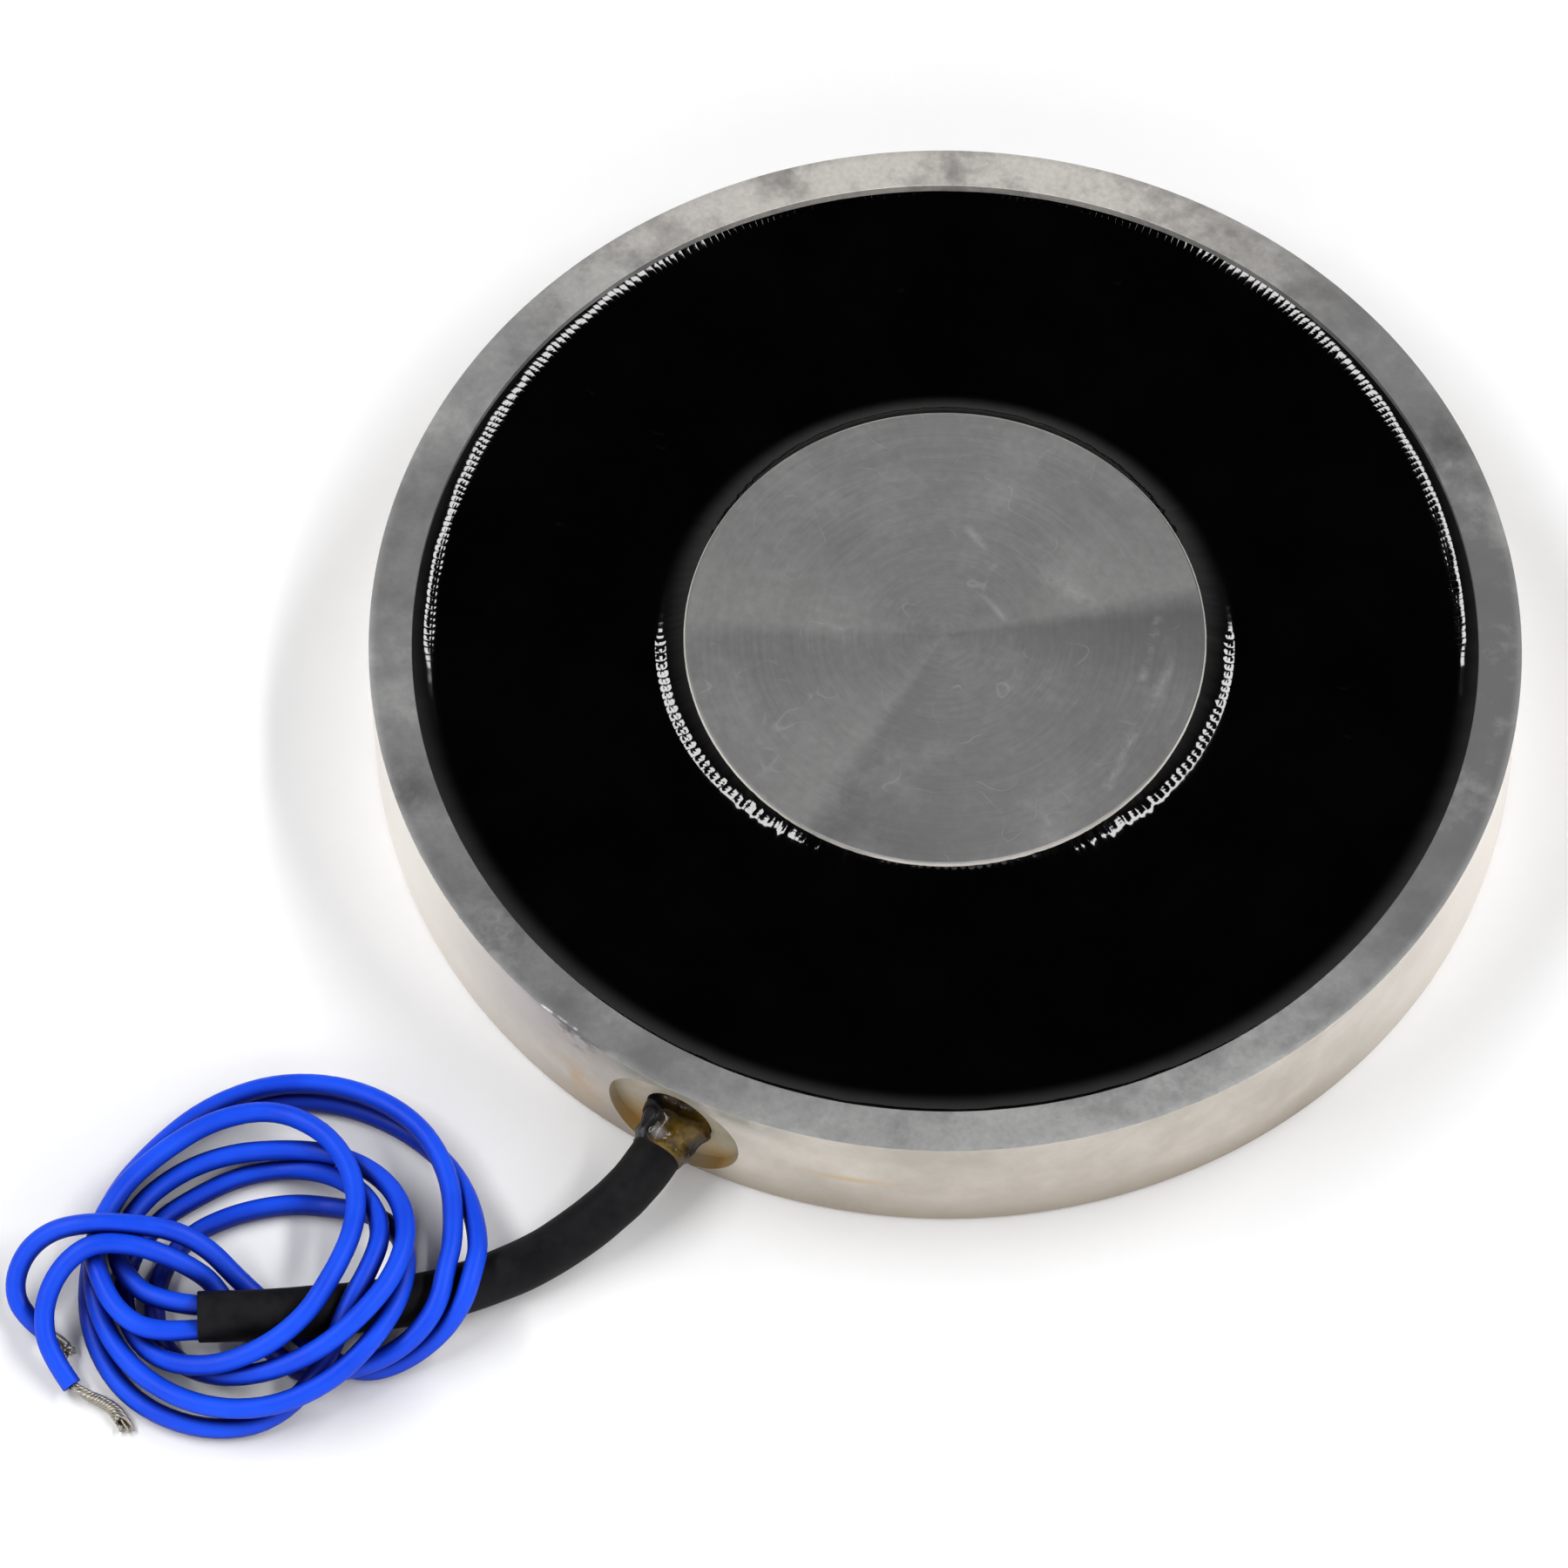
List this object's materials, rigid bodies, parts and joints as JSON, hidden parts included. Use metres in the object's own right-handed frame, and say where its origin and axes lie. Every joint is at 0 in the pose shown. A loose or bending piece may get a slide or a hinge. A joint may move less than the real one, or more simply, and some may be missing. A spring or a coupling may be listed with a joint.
{
  "type": "lifting electromagnet",
  "caption": "Flat round lifting electromagnet: steel pot with a centre pole and resin-potted coil, a threaded hole in its back, and sleeved leads wound in a loose hank.",
  "frame": {"origin": "centre of the flat back face, on the pot's axis", "axes": "+Z out of the pole face, away from the back; -Y along the lead exit in the rim; +X to the right of the exit"},
  "size_m": [0.08, 0.1161, 0.0105],
  "materials": {
    "plated_steel": "nickel plated, with ground faces",
    "bobbin_plastic": "moulded",
    "copper_wire": "enamelled copper wire, wound",
    "yellow_tape": "polyester tape",
    "black_sleeve": "satin shrink sleeve",
    "blue_wire": "satin vinyl insulation",
    "black_resin": "cast epoxy, mirror gloss",
    "amber_glue": "set glue, uneven",
    "tinned_strands": "tinned copper strands"
  },
  "bodies": {
    "root": {"pot_body": "plated_steel", "coil_bobbin": "bobbin_plastic", "coil_winding": "copper_wire", "winding_tape": "yellow_tape", "splice_sleeve_1": "black_sleeve", "splice_sleeve_2": "black_sleeve", "lead_root_1": "blue_wire", "lead_root_2": "blue_wire", "potting_resin": "black_resin", "exit_glue": "amber_glue", "lead_sleeve": "black_sleeve", "lead_hank": "blue_wire", "lead_end_1": "blue_wire", "lead_end_2": "blue_wire", "strand_tip_1": "tinned_strands", "strand_tip_2": "tinned_strands"}
  },
  "joints": []
}
